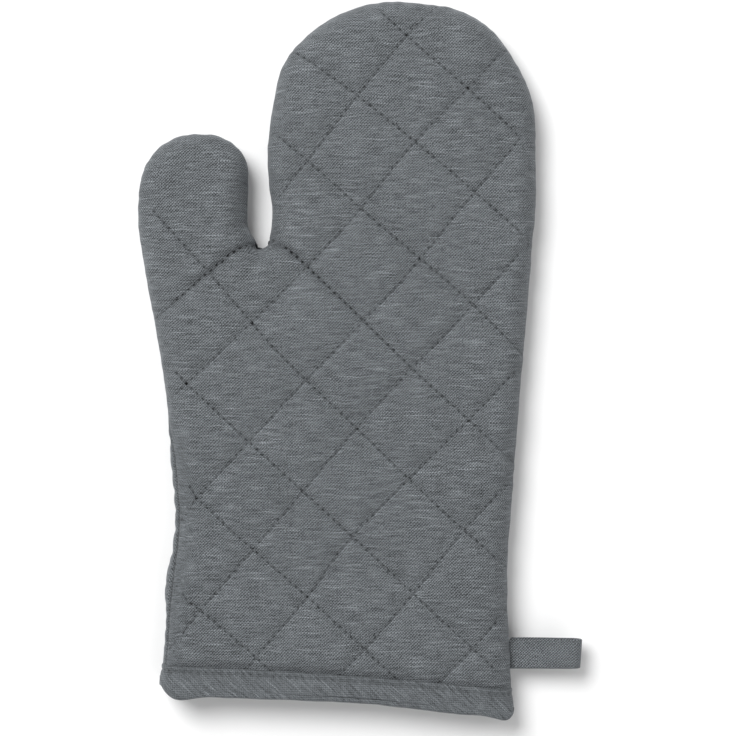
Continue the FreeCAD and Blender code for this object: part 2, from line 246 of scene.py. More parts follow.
def rounded_path():
    """Straight sides between arcs, with the arcs sampled closely enough for the rim inside them."""
    corners = np.array([row[:2] for row in OUTLINE], float)
    path = [corners[0]]
    for index in range(1, len(OUTLINE) - 1):
        radius = OUTLINE[index][2]
        back = unit(corners[index - 1] - corners[index])
        ahead = unit(corners[index + 1] - corners[index])
        half = math.acos(back @ ahead) / 2
        centre = corners[index] + unit(back + ahead) * radius / math.sin(half)
        first = corners[index] + back * radius / math.tan(half) - centre
        last = corners[index] + ahead * radius / math.tan(half) - centre
        start = math.atan2(first[1], first[0])
        turn = math.remainder(math.atan2(last[1], last[0]) - start, 2 * math.pi)
        widest = radius if turn > 0 else radius + RIM_WIDTH
        count = max(2, math.ceil(abs(turn) * widest / RIM_STEP))
        for angle in np.linspace(start, start + turn, count + 1):
            path.append(centre + radius * np.array([math.cos(angle), math.sin(angle)]))
    path.append(corners[-1])
    return path


def seam_line():
    """Points of the seam from the cuff's outer side round to its inner side, and inward normals."""
    path = rounded_path()
    dense = [path[0]]
    for a, b in zip(path, path[1:]):
        parts = max(1, round(float(np.linalg.norm(b - a)) / RIM_STEP))
        dense += [a + (b - a) * part / parts for part in range(1, parts + 1)]
    points = np.array(dense)
    above = np.flatnonzero(points[:, 1] > RAW_EDGE)
    first, last = above[0], above[-1]

    def at_edge(low, high):
        share = (RAW_EDGE - points[low, 1]) / (points[high, 1] - points[low, 1])
        return points[low] + (points[high] - points[low]) * share

    points = np.vstack([at_edge(first - 1, first), points[first : last + 1], at_edge(last + 1, last)])
    tangents = unit_rows(np.gradient(points, axis=0))
    return points, np.column_stack([-tangents[:, 1], tangents[:, 0]])


def shaped_seam():
    """The seam line of the sewn mitt: it pulls in at the quilting and wavers a little."""
    points, normals = seam_line()
    above_binding = smoothstep(BINDING_TOP, BINDING_TOP + 14, points[:, 1])
    gap = np.minimum(FALLING.nearest(points)[0], RISING.nearest(points)[0])
    shift = 0.12 * bell(gap, 5.0) + 0.3 * wander(points, 26, 3.1)
    shift = shift + 0.1 * wander(points, 9, 5.7) - 0.25
    to_crotch = np.linalg.norm(points - CROTCH_POINT, axis=1)
    bulge = np.where(points[:, 0] < 0, 2.3 * bell(points[:, 1] + 106, 15), 0)
    bulge += np.where(points[:, 0] < -90, 0.6 * bell(points[:, 1] - 35, 22), 0)
    shift = (shift * (1 - bell(to_crotch, 9)) - bulge) * above_binding
    lengths = lengths_along(points)
    past_crotch = lengths - lengths[to_crotch.argmin()]
    shift += 4.6 * smoothstep(-1, 13, past_crotch) * (1 - smoothstep(5, 42, past_crotch))
    return points + normals * shift[:, None], normals


SEAM, SEAM_INWARD = shaped_seam()
SEAM_LENGTHS = lengths_along(SEAM)
SEAM_LINES = Lines([SEAM])


def seam_roll():
    """How far up over the rim the seam lies, as an angle at each point of the seam line."""
    x, y = SEAM.T
    on_inner_side = (x < -40) & (y < 0)
    window = smoothstep(-24, -52, y)
    rolled = math.radians(35) + math.radians(13) * bell(y + 106, 13)
    little = math.radians(5) * wander(SEAM, 40, 9.2)
    return np.where(on_inner_side, rolled * window, 0) + little * smoothstep(-150, -120, y)


SEAM_ROLL = seam_roll()


# --- The cuff's edge ---

LEFT_CORNER = 9.5
RIGHT_CORNER = 4.0


def cuff_sides(y):
    """x of the seam on the thumb side and on the outer side, near the cuff."""
    outer = np.interp(y, SEAM[:60, 1], SEAM[:60, 0])
    inner = np.interp(y, SEAM[::-1][:60, 1], SEAM[::-1][:60, 0])
    return inner, outer


def binding_top(x):
    """The binding's upper edge sags a little towards both sides."""
    return BINDING_TOP + 2.0 - 1.6 * (x / 78) ** 2 - 0.3 * x / 78


def binding_bottom(x):
    """The binding's lower edge: nearly straight, lower beside each corner, and rounded there."""
    inner, outer = cuff_sides(BINDING_BOTTOM + 4)
    line = BINDING_BOTTOM + 4.6 - 1.9 * smoothstep(5, 60, x) + 1.1 * bell(x, 48) + 0.0164 * x
    line = line - 1.9 * bell(x - (inner + 10), 7) - 1.7 * bell(x - (outer - 4), 5)
    from_left = np.clip(x - inner + 0.8, 0, LEFT_CORNER)
    from_right = np.clip(outer + 0.8 - x, 0, RIGHT_CORNER)
    left = LEFT_CORNER - np.sqrt(LEFT_CORNER**2 - (LEFT_CORNER - from_left) ** 2)
    right = RIGHT_CORNER - np.sqrt(RIGHT_CORNER**2 - (RIGHT_CORNER - from_right) ** 2)
    return line + 0.85 * left + 0.85 * right


def fit_under_binding(points):
    """Squeeze what the binding covers into the binding's own shape."""
    top = binding_top(points[:, 0]) - 1.5
    bottom = binding_bottom(points[:, 0]) + 2.2
    share = (points[:, 1] - top) / (RAW_EDGE - top)
    covered = share > 0
    points[covered, 1] = (top + share * (bottom - top))[covered]
    return points


# --- Panels ---

class Panel:
    """The plan of a panel as a mesh: a rim of rows inside the seam, and triangles inside the rim.

    Every point knows the point of the seam that it belongs to, the way inwards from there, and
    how far up the rounded edge it lies, from 0 at the seam to a quarter turn on the flat.
    """

    def __init__(self, columns, row_angles, spacing, curves):
        self.columns = columns
        self.row_angles = row_angles
        feet = SEAM[columns]
        inward = SEAM_INWARD[columns]
        depths = EDGE_RADIUS * (1 - np.cos(row_angles))
        self.rim = np.arange(len(row_angles) * len(columns)).reshape(len(row_angles), len(columns))
        rim_plan = (feet + inward * depths[:, None, None]).reshape(-1, 2)
        inner_row = rim_plan[self.rim[-1]]
        crease = smooth_line(CREASE, spacing * 0.8)
        rim_line = Lines([np.vstack([inner_row, inner_row[:1]])])
        crease = crease[inside(crease, inner_row) & (rim_line.nearest(crease)[0] > 0.9)]
        self.thumb_from = int(np.linalg.norm(inner_row - crease[0], axis=1).argmin())
        self.thumb_to = int(np.linalg.norm(inner_row - crease[-1], axis=1).argmin())
        plan, triangles = self.fill(inner_row, crease, spacing, curves)
        kept = len(inner_row)
        number = np.concatenate([self.rim[-1], len(rim_plan) + np.arange(len(plan) - kept)])
        self.plan = np.vstack([rim_plan, plan[kept:]])
        self.find_feet(feet, inward, plan[kept:])
        self.collect_faces(number[triangles], plan, triangles, crease, inner_row)
        self.falling = np.column_stack(FALLING.nearest(self.plan))
        self.rising = np.column_stack(RISING.nearest(self.plan))
        self.gap = np.minimum(self.falling[:, 0], self.rising[:, 0])
        self.fold_gap, self.fold_along = FOLDS.nearest(self.plan)
        self.crotch_gap, self.crotch_along = CROTCH.nearest(self.plan)

    def fill(self, inner_row, crease, spacing, curves):
        """Points and triangles inside the rim. The first points are those of the rim's inner row."""
        bottom = resample(np.array([inner_row[-1], inner_row[0]]), spacing)[1:-1]
        loop = np.vstack([inner_row, bottom])
        points = [loop]
        edges = [(k, (k + 1) % len(loop)) for k in range(len(loop))]
        placed = len(loop)
        points.append(crease)
        chain = [self.thumb_from, *range(placed, placed + len(crease)), self.thumb_to]
        edges += list(zip(chain, chain[1:]))
        placed += len(crease)
        taken = Lines([np.vstack([loop, loop[:1]])])
        fringe = []
        for curve in curves:
            kept = inside(curve, loop) & (taken.nearest(curve)[0] > 0.9)
            kept &= Lines([crease]).nearest(curve)[0] > 0.9
            points.append(curve[kept])
            joined = placed + np.flatnonzero(np.diff(np.flatnonzero(kept)) == 1)
            edges += [(k, k + 1) for k in joined.tolist()]
            placed += len(points[-1])
            across = unit_rows(np.gradient(curve, axis=0)[:, ::-1] * [-1, 1])
            fringe += [(curve + across * 1.2)[kept], (curve - across * 1.2)[kept]]
        loose = np.vstack(fringe + [self.grid(loop, spacing)])
        loose = loose[inside(loose, loop) & (taken.nearest(loose)[0] > spacing * 0.45)]
        points.append(self.thinned(np.vstack(points), loose, spacing * 0.42))
        given = np.vstack(points)
        out = delaunay_2d_cdt([Vector(p) for p in given.tolist()], edges, [], 1, 1e-4)
        plan = np.array([tuple(p) for p in out[0]])
        triangles = np.array([face for face in out[2] if len(face) == 3])
        order = {}
        for new, olds in enumerate(out[3]):
            for old in olds:
                order.setdefault(old, new)
        first = [order[k] for k in range(len(inner_row))]
        rest = np.setdiff1d(np.arange(len(plan)), first).tolist()
        back = np.empty(len(plan), int)
        back[first + rest] = np.arange(len(plan))
        plan = plan[first + rest]
        triangles = back[triangles]
        a, b, c = (plan[triangles[:, k]] for k in range(3))
        area = (b[:, 0] - a[:, 0]) * (c[:, 1] - a[:, 1]) - (b[:, 1] - a[:, 1]) * (c[:, 0] - a[:, 0])
        triangles[area < 0] = triangles[area < 0][:, ::-1]
        return plan, triangles[np.abs(area) > 1e-6]

    def grid(self, loop, spacing):
        """Points in staggered rows over the whole loop."""
        low, high = loop.min(0), loop.max(0)
        rows = np.arange(low[1], high[1], spacing * 0.866)
        points = []
        for number, y in enumerate(rows):
            x = np.arange(low[0] + (number % 2) * spacing / 2, high[0], spacing)
            points.append(np.column_stack([x, np.full(len(x), y)]))
        return np.vstack(points)

    def thinned(self, fixed, loose, clearance):
        """The loose points that stand clear of the fixed ones and of each other."""
        tree = KDTree(len(fixed) + len(loose))
        for index, point in enumerate(np.vstack([fixed, loose])):
            tree.insert((*point, 0), index)
        tree.balance()
        dropped = set()
        kept = []
        for index, point in enumerate(loose):
            if index in dropped:
                continue
            near = [other - len(fixed) for _, other, _ in tree.find_range((*point, 0), clearance)]
            if any(other < 0 for other in near):
                continue
            dropped.update(other for other in near if other > index)
            kept.append(point)
        return np.array(kept)

    def find_feet(self, feet, inward, rest):
        """The seam point, way inwards, place along the seam and rise of every point."""
        rows = len(self.row_angles)
        depth, along = SEAM_LINES.nearest(rest)
        foot = follow(SEAM, SEAM_LENGTHS, along)
        inner = (rest - foot) / depth[:, None]
        on_flat = depth > EDGE_RADIUS
        foot[on_flat] = rest[on_flat] - inner[on_flat] * EDGE_RADIUS
        rise = np.where(on_flat, QUARTER, np.arccos(np.clip(1 - depth / EDGE_RADIUS, -1, 1)))
        self.foot = np.vstack([np.tile(feet, (rows, 1)), foot])
        self.inward = np.vstack([np.tile(inward, (rows, 1)), inner])
        self.along = np.concatenate([np.tile(SEAM_LENGTHS[self.columns], rows), along])
        self.rise = np.concatenate([np.repeat(self.row_angles, len(feet)), rise])
        self.roll = np.interp(self.along, SEAM_LENGTHS, SEAM_ROLL)

    def collect_faces(self, triangles, plan, local, crease, inner_row):
        """All faces, anticlockwise from above, and which of them belong to the thumb."""
        border = np.vstack([inner_row[self.thumb_from : self.thumb_to + 1], crease[::-1]])
        on_thumb = inside(plan[local].mean(1), border)
        faces = triangles.tolist()
        thumb = on_thumb.tolist()
        for low, high in zip(self.rim, self.rim[1:]):
            for k in range(len(low) - 1):
                faces.append([low[k], low[k + 1], high[k + 1], high[k]])
                thumb.append(self.thumb_from <= k < self.thumb_to)
        self.faces = [[int(v) for v in face] for face in faces]
        self.thumb = np.array(thumb)

    def layer(self, side, depth):
        """Points and outward normals of a layer so far below the outer face. Side is 1 or -1."""
        if side > 0:
            angle = self.roll + self.rise * (1 - self.roll / QUARTER)
        else:
            angle = self.roll - self.rise * (1 + self.roll / QUARTER)
        cos, sin = np.cos(angle)[:, None], np.sin(angle)[:, None]
        plan = self.foot + self.inward * (EDGE_RADIUS - (EDGE_RADIUS - depth) * cos)
        points = np.hstack([plan, SEAM_Z + (HALF - depth) * sin])
        return points, np.hstack([-self.inward * cos, sin])

    def unrolled(self):
        """Where each point lies in the flat cloth: the rounded edge is laid out flat."""
        out = EDGE_RADIUS - EDGE_RADIUS * (QUARTER - self.rise)
        return self.foot + self.inward * out[:, None]


# --- The shape of the quilted cloth ---

def quilt_relief(panel, side):
    """How far the cloth stands out of the plain shape: puffs, stitched lines, folds and puckers."""
    arc = EDGE_RADIUS * panel.rise
    seam_share = smoothstep(3, 13, arc)
    sharp = np.maximum(0.6 * bell(panel.falling[:, 0], 0.9), 0.3 * bell(panel.rising[:, 0], 0.9))
    puff = 0.45 - sharp - 0.6 * bell(panel.gap, 4.2) - 0.4 * np.exp(-panel.gap / 9)
    fold = 1.5 * bell(panel.fold_gap, 1.5) * (1 - smoothstep(0, 62, panel.fold_along))
    pucker = 1.6 * bell(panel.crotch_gap, 2.0) * (1 - smoothstep(4, 18, panel.crotch_along))
    rows = np.column_stack([panel.plan, np.full(len(panel.plan), side * 50.0)])
    slow = 0.55 * wander(rows, 34, 1.7) + 0.22 * wander(rows, 13, 4.4)
    ruffle = 0.22 * wander(np.column_stack([panel.along, arc * 0.25, rows[:, 2]]), 4.5, 8.3)
    past_top = panel.plan[:, 1] - binding_top(panel.plan[:, 0])
    groove = (0.45 + 0.6 * panel.roll) * bell(arc, 1.0) * smoothstep(2, 12, past_top)
    tucked = 1.1 * smoothstep(4.5, 0, past_top) * (0.1 + 0.9 * seam_share)
    relief = (puff + slow) * (0.08 + 0.92 * seam_share) + ruffle * bell(arc - 3.5, 4.5)
    relief *= smoothstep(-2, 5, past_top)
    return relief - groove - tucked - (fold + pucker if side > 0 else 0.4 * fold)


def hole_wave(along, pitch=STITCH_PITCH):
    """1 at every needle hole along a line, and 0 halfway between two holes."""
    return 0.5 + 0.5 * np.cos(2 * math.pi * along / pitch)


def stitch_holes(line):
    """1 in the middle of each needle hole, 0 beside it, from gaps and places along the lines."""
    return bell(line[:, 0], 0.7) * hole_wave(line[:, 1]) ** 2


def inflate(points, faces, held, normals):
    """Cloth simulation: the layer swells between its stitched lines, and wrinkles beside them."""
    scale = 10
    frames = 16
    mesh = bpy.data.meshes.new("swelling")
    mesh.from_pydata((points * MM * scale).tolist(), [], faces)
    cloth_piece = bpy.data.objects.new("swelling", mesh)
    bpy.context.scene.collection.objects.link(cloth_piece)
    pins = cloth_piece.vertex_groups.new(name="stitched")
    for weight in np.unique(held.round(1)):
        if weight > 0:
            chosen = np.flatnonzero(held.round(1) == weight).tolist()
            pins.add(chosen, float(weight), "REPLACE")
    cloth = cloth_piece.modifiers.new("cloth", "CLOTH")
    settings = cloth.settings
    settings.quality = 5
    settings.vertex_group_mass = "stitched"
    settings.tension_stiffness = 15
    settings.compression_stiffness = 15
    settings.shear_stiffness = 5
    settings.bending_stiffness = 2
    settings.shrink_min = -0.05
    settings.use_pressure = True
    settings.uniform_pressure_force = 6
    settings.effector_weights.gravity = 0
    cloth.collision_settings.use_collision = False
    cloth.point_cache.frame_start = 1
    cloth.point_cache.frame_end = frames
    for number in range(1, frames + 1):
        bpy.context.scene.frame_set(number)
    shown = cloth_piece.evaluated_get(bpy.context.evaluated_depsgraph_get())
    moved = read(shown.data.vertices, "co") / (MM * scale) - points
    bpy.context.scene.frame_set(1)
    bpy.data.objects.remove(cloth_piece)
    bpy.data.meshes.remove(mesh)
    outward = (moved * normals).sum(1)
    sideways = moved - normals * outward[:, None]
    reach = np.linalg.norm(sideways, axis=1)
    sideways *= (np.minimum(reach, 0.5) / np.maximum(reach, 1e-9))[:, None]
    return points + sideways + normals * (0.7 * np.tanh(outward))[:, None]


# --- Making pieces ---

def new_piece(name, points, faces):
    mesh = bpy.data.meshes.new(name)
    mesh.from_pydata((np.asarray(points) * MM).tolist(), [], faces)
    mesh.shade_smooth()
    piece = bpy.data.objects.new(name, mesh)
    bpy.context.scene.collection.objects.link(piece)
    return piece


def set_values(mesh, name, values):
    """Store one number or one vector for each point of a mesh."""
    values = np.asarray(values, np.float32)
    if values.ndim == 2 and values.shape[1] == 2:
        values = np.column_stack([values, np.zeros(len(values))]).astype(np.float32)
    kind, field = ("FLOAT_VECTOR", "vector") if values.ndim == 2 else ("FLOAT", "value")
    attribute = mesh.attributes.get(name) or mesh.attributes.new(name, kind, "POINT")
    attribute.data.foreach_set(field, values.ravel())


def read(rows, field, width=3):
    """The numbers in one field of a mesh's points, normals or attribute."""
    flat = np.zeros(len(rows) * width, np.float32)
    rows.foreach_get(field, flat)
    return flat.reshape(-1, width).astype(float)


def get_vectors(mesh, name):
    return read(mesh.attributes[name].data, "vector")


def get_numbers(mesh, name):
    return read(mesh.attributes[name].data, "value", 1)[:, 0]


def get_points(mesh):
    return read(mesh.vertices, "co") / MM


def get_normals(mesh):
    return read(mesh.vertex_normals, "vector")


def move_points(mesh, points):
    mesh.vertices.foreach_set("co", (points * MM).astype(np.float32).ravel())
    mesh.update()


def subdivide(piece):
    """Make one subdivision part of the mesh."""
    modifier = piece.modifiers.new("subdivision", "SUBSURF")
    modifier.levels = 1
    modifier.render_levels = 1
    shown = piece.evaluated_get(bpy.context.evaluated_depsgraph_get())
    smooth = bpy.data.meshes.new_from_object(shown)
    coarse = piece.data
    piece.modifiers.clear()
    piece.data = smooth
    bpy.data.meshes.remove(coarse)


def part_of(piece, name, thumb):
    """A copy of the faces on one side of the crease. Faces of the thumb have material index 1."""
    mesh = piece.data.copy()
    mesh.name = name
    edit = bmesh.new()
    edit.from_mesh(mesh)
    other = [face for face in edit.faces if (face.material_index == 1) != thumb]
    bmesh.ops.delete(edit, geom=other, context="FACES")
    for face in edit.faces:
        face.material_index = 0
    edit.to_mesh(mesh)
    edit.free()
    part = bpy.data.objects.new(name, mesh)
    bpy.context.scene.collection.objects.link(part)
    return part


def divide(piece, stem):
    """The hand's part and the thumb's part of a panel, as two pieces."""
    parts = [part_of(piece, f"{stem}_hand", False), part_of(piece, f"{stem}_thumb", True)]
    mesh = piece.data
    bpy.data.objects.remove(piece)
    bpy.data.meshes.remove(mesh)
    return parts


def dress(piece, material):
    piece.data.materials.clear()
    piece.data.materials.append(material)


def finish_pair(parts, material, hand_nodes, thumb_nodes):
    """Material and CAD nodes of the hand's part and the thumb's part of one thing."""
    for part in parts:
        dress(part, material)
    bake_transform(parts[0])
    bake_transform(parts[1])
    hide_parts(*hand_nodes)
    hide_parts(*thumb_nodes)


def finish_layer(parts, material, layer):
    """The same for a layer that the CAD cuts into five nodes."""
    hand_nodes = [f"{layer}_palm", f"{layer}_knuckles", f"{layer}_fingers"]
    finish_pair(parts, material, hand_nodes, [f"{layer}_thumb_fold", f"{layer}_thumb"])


# --- Materials ---

class Graph:
    """A material's nodes, written as formulas."""

    def __init__(self, name):
        self.material = bpy.data.materials.new(name)
        self.material.use_nodes = True
        self.tree = self.material.node_tree
        self.shader = self.tree.nodes["Principled BSDF"]

    def put(self, socket, value):
        if isinstance(value, bpy.types.NodeSocket):
            self.tree.links.new(value, socket)
        else:
            socket.default_value = value

    def node(self, kind, output=0, settings=None, **inputs):
        made = self.tree.nodes.new(kind)
        for name, value in (settings or {}).items():
            setattr(made, name, value)
        for name, value in inputs.items():
            self.put(made.inputs[name.replace("_", " ")], value)
        return made.outputs[output]

    def math(self, operation, *values):
        made = self.tree.nodes.new("ShaderNodeMath")
        made.operation = operation
        for socket, value in zip(made.inputs, values):
            self.put(socket, value)
        return made.outputs[0]

    def sum(self, *values):
        total = values[0]
        for value in values[1:]:
            total = self.math("ADD", total, value)
        return total

    def times(self, *values):
        total = values[0]
        for value in values[1:]:
            total = self.math("MULTIPLY", total, value)
        return total

    def wave(self, position, period):
        """A sine of a position, from 0 to 1."""
        sine = self.math("SINE", self.times(position, 2 * math.pi / period))
        return self.math("MULTIPLY_ADD", sine, 0.5, 0.5)

    def step(self, value, low, high):
        made = self.tree.nodes.new("ShaderNodeMapRange")
        made.interpolation_type = "SMOOTHSTEP"
        for socket, number in zip(made.inputs, (value, low, high, 0.0, 1.0)):
            self.put(socket, number)
        return made.outputs[0]

    def noise(self, x, y, x_size, y_size, seed, detail=1.0):
        place = self.node(
            "ShaderNodeCombineXYZ",
            X=self.times(x, 1 / x_size),
            Y=self.times(y, 1 / y_size),
            Z=float(seed),
        )
        return self.node("ShaderNodeTexNoise", Vector=place, Scale=1.0, Detail=detail)

    def value(self, name):
        return self.node("ShaderNodeAttribute", "Fac", {"attribute_name": name})

    def parts(self, name, turn=0.0):
        """The first two numbers of a vector attribute, as seen from axes turned by an angle."""
        vector = self.node("ShaderNodeAttribute", "Vector", {"attribute_name": name})
        about_z = {"rotation_type": "Z_AXIS"}
        turned = self.node("ShaderNodeVectorRotate", 0, about_z, Vector=vector, Angle=-turn)
        split = self.node("ShaderNodeSeparateXYZ", Vector=turned).node
        return split.outputs[0], split.outputs[1]

    def colour(self, colour, tone):
        scale = {"operation": "SCALE"}
        tinted = self.node("ShaderNodeVectorMath", 0, scale, Vector=colour, Scale=tone)
        self.put(self.shader.inputs["Base Color"], tinted)

    def bump(self, height, strength, distance):
        normal = self.node("ShaderNodeBump", Height=height, Strength=strength, Distance=distance)
        self.put(self.shader.inputs["Normal"], normal)

    def finish(self, **inputs):
        """Set the surface's other inputs, and give back the material."""
        for name, value in inputs.items():
            self.put(self.shader.inputs[name.replace("_", " ")], value)
        return self.material

    def swing(self, value, strength):
        """A value from 0 to 1, made to swing about 0."""
        return self.times(self.sum(value, -0.5), strength)


def needle_hole_shade(graph, name, crease):
    """Painted shade: dark dashes in the needle holes along the stitched lines of one direction and
    the crease that joins them, and a thin painted shade along those lines.
    """
    x, y = graph.parts(name)
    uneven = graph.noise(x, y, 1.1, 1.6, 43)
    beside = graph.sum(x, graph.swing(uneven, 0.9))
    at_hole = graph.wave(graph.sum(y, STITCH_PITCH / 4, graph.times(uneven, 0.7)), STITCH_PITCH)
    # Painted shadow in each needle hole, and a thin painted shade along the stitched line
    dash = graph.times(graph.step(beside, 0.7, 0.15), graph.step(at_hole, 0.4, 0.85))
    thin = graph.times(graph.step(beside, 0.75, 0.1), crease)
    strength = graph.sum(0.55, graph.noise(x, y, 9.0, 9.0, 47))
    return graph.times(graph.sum(graph.times(dash, 0.44), thin), strength)


def slub_cloth(name, colour, turn=0.0, contrast=1.0, slub=1.0, wrinkles=0.0, quilted=False):
    """Grey cloth of uneven yarn: a fine diagonal weave, crossed by light and dark rows of weft."""
    graph = Graph(name)
    x, y = graph.parts("cloth", turn)
    waver = graph.noise(x, y, 7.0, 7.0, 2)
    yarn = graph.noise(x, y, 0.9, 0.9, 5)
    y = graph.sum(y, graph.times(waver, 1.2))
    slant = graph.times(graph.sum(x, graph.times(y, -1.0)), math.sqrt(0.5))
    counter = graph.times(graph.sum(x, y), math.sqrt(0.5))
    twill = graph.wave(graph.sum(slant, graph.times(yarn, 0.5)), 0.94)
    cross = graph.wave(graph.sum(counter, graph.times(yarn, 0.5)), 0.94)
    weave = graph.sum(graph.times(twill, 0.65), graph.times(cross, 0.35))
    dots = graph.wave(graph.sum(x, graph.times(yarn, 0.25)), 1.25)
    rows = graph.noise(x, y, 9.0, 0.6, 11, 3.0)
    thick_rows = graph.step(graph.noise(x, y, 18.0, 0.5, 13), 0.60, 0.72)
    slubs = graph.times(thick_rows, graph.sum(0.1, graph.times(dots, 0.9)))
    grain = graph.noise(x, y, 0.5, 0.42, 19)
    warp = graph.noise(x, y, 0.6, 9.0, 23)
    mottle = graph.noise(x, y, 2.6, 1.2, 29, 3.0)
    cloudy = graph.noise(x, y, 45.0, 45.0, 31)
    light = graph.sum(
        1.0,
        graph.swing(weave, 1.5 * contrast),
        graph.swing(rows, 2.1 * slub),
        graph.times(slubs, 1.5 * slub),
        graph.swing(grain, 2.6 * contrast),
        graph.swing(warp, 0.5),
        graph.swing(mottle, 0.6),
        graph.swing(cloudy, 0.2),
    )
    # Painted shade: the mesh's painted shade, and painted shade in the needle holes and along the
    # stitched lines, darken the cloth's colour
    dark = graph.times(graph.value("painted_shade"), 0.5)
    if quilted:
        for line, crease in (("falling", 0.16), ("rising", 0.12)):
            dark = graph.sum(dark, needle_hole_shade(graph, line, crease))
    tone = graph.times(graph.math("MAXIMUM", light, 0.2), graph.sum(1.0, graph.times(dark, -1.0)))
    graph.colour(colour, tone)
    height = graph.sum(weave, graph.times(slubs, 0.7), graph.times(rows, 0.6))
    if wrinkles:
        height = graph.sum(height, graph.times(graph.noise(x, y, 9.0, 2.2, 41, 2.0), wrinkles))
    graph.bump(height, 0.5, 0.0002)
    return graph.finish(
        Roughness=graph.sum(0.98, graph.times(weave, -0.16)),
        Specular_IOR_Level=0.22,
        Sheen_Weight=0.3,
        Sheen_Roughness=0.45,
        Sheen_Tint=(0.72, 0.76, 0.8, 1),
    )


def twisted_thread(name, colour):
    """Two-ply sewing thread, with its plies as slanting ridges."""
    graph = Graph(name)
    x, y = graph.parts("cloth")
    ply = graph.wave(graph.sum(x, y), 0.42)
    fuzz = graph.noise(x, y, 0.3, 0.3, 3, 2.0)
    graph.colour(colour, graph.sum(0.72, graph.times(ply, 0.35), graph.times(fuzz, 0.2)))
    graph.bump(ply, 0.5, 0.0001)
    rough = graph.sum(0.72, graph.times(fuzz, 0.2))
    return graph.finish(Roughness=rough, Specular_IOR_Level=0.35, Sheen_Weight=0.1)


def felted(name, colour):
    """Needled cotton wadding."""
    graph = Graph(name)
    x, y = graph.parts("cloth")
    clumps = graph.noise(x, y, 3.0, 3.0, 7, 4.0)
    fibres = graph.noise(x, y, 0.4, 1.4, 13, 3.0)
    graph.colour(colour, graph.sum(0.8, graph.times(clumps, 0.25), graph.times(fibres, 0.15)))
    graph.bump(graph.sum(clumps, fibres), 0.6, 0.0006)
    return graph.finish(Roughness=graph.sum(0.9, graph.times(fibres, 0.1)))


def grey(share):
    return (0.109 * share, 0.118 * share, 0.1255 * share)


shell_cloth = slub_cloth("grey_slub_cloth", grey(1.0), turn=GRAIN, quilted=True)
on_bias = {"turn": math.radians(-42), "contrast": 0.5, "wrinkles": 1.4}
binding_cloth = slub_cloth("grey_bias_binding", grey(1.0), **on_bias)
loop_cloth = slub_cloth("grey_loop_tape", grey(1.05), contrast=1.4, slub=0.5)
lining_cloth = slub_cloth("grey_lining_cloth", grey(0.82), slub=0.3)
grey_thread = twisted_thread("grey_thread", grey(1.0))
seam_thread = twisted_thread("grey_seam_thread", grey(0.7))
wadding_felt = felted("cotton_wadding", (0.74, 0.71, 0.64))

# --- Shells ---

SIDES = {"front": 1, "back": -1}
PARTS = ("hand", "thumb")
FLOOR_CLEARANCE = 0.3
fine_rows = np.radians([0, 4.5, 9, 15, 22, 30, 39, 49, 60])
stitch_curves = [smooth_line(points, STITCH_PITCH / 2) for points in FALLING_LINES + RISING_LINES]
fine_panel = Panel(np.arange(len(SEAM)), fine_rows, 2.6, stitch_curves)
coarse_columns = np.unique(np.append(np.arange(0, len(SEAM), 2), len(SEAM) - 1))
coarse_panel = Panel(coarse_columns, np.radians([0, 12, 26, 42, 60]), 4.4, [])


def panel_faces(panel, side):
    return panel.faces if side > 0 else [face[::-1] for face in panel.faces]


def mark_thumb(piece, panel, material):
    """Give the thumb's faces material index 1, by which the panel is divided later."""
    for _ in PARTS:
        piece.data.materials.append(material)
    piece.data.polygons.foreach_set("material_index", panel.thumb.astype(np.int32))


def above_floor(points):
    points[:, 2] = np.maximum(points[:, 2], FLOOR_CLEARANCE)
    return points


def make_shell(name, side):
    """One panel of the outer cloth, swollen between its stitched lines: its tree and its parts."""
    panel = fine_panel
    points, normals = panel.layer(side, 0.0)
    points = points + normals * quilt_relief(panel, side)[:, None]
    faces = panel_faces(panel, side)
    held = np.maximum(panel.gap < 0.6, panel.rise < math.radians(12)).astype(float)
    held = np.maximum(held, panel.plan[:, 1] < BINDING_TOP + 4)
    points = inflate(points, faces, held, normals)
    piece = new_piece(name, above_floor(fit_under_binding(points)), faces)
    set_values(piece.data, "cloth", panel.unrolled())
    set_values(piece.data, "falling", panel.falling)
    set_values(piece.data, "rising", panel.rising)
    # Painted shade: darker in the deep folds, in the puckers below the crotch, just above the binding
    # where the shell goes under it, and in the seam groove at the rim
    painted_shade = 0.75 * bell(panel.fold_gap, 0.8) * (1 - smoothstep(5, 90, panel.fold_along))
    painted_shade += 0.3 * bell(panel.crotch_gap, 1.8) * (1 - smoothstep(4, 18, panel.crotch_along))
    painted_shade += 0.6 * bell(panel.plan[:, 1] - binding_top(panel.plan[:, 0]), 1.0)
    set_values(piece.data, "painted_shade", painted_shade + bell(EDGE_RADIUS * panel.rise, 0.9))
    mark_thumb(piece, panel, shell_cloth)
    subdivide(piece)
    holes = [stitch_holes(get_vectors(piece.data, line)) for line in ("falling", "rising")]
    sunk = get_normals(piece.data) * (0.15 * np.maximum(*holes))[:, None]
    move_points(piece.data, above_floor(get_points(piece.data) - sunk))
    tree = BVHTree.FromObject(piece, bpy.context.evaluated_depsgraph_get())
    return tree, divide(piece, name)


shell_trees = {}
for side_name, side in SIDES.items():
    shell_trees[side_name], parts = make_shell(f"{side_name}_shell_cloth", side)
    finish_layer(parts, shell_cloth, f"{side_name}_shell")


# --- Wadding and lining ---

PAD_TOP = CLOTH + 0.9
PAD_BOTTOM = 5.4
PAD_APART = 0.12
LINING_DEPTH = 6.2


def soft_dip(depth):
    """The inner layers are pressed together along the quilting, and stay inside the shell."""
    panel = coarse_panel
    tucked = 1.1 * smoothstep(4.5, 0, panel.plan[:, 1] - binding_top(panel.plan[:, 0]))
    folds = 1.5 * bell(panel.fold_gap, 5) * (1 - smoothstep(30, 62, panel.fold_along))
    folds += 1.3 * bell(panel.crotch_gap, 5)
    return depth * bell(panel.gap, 4.5) + tucked + folds


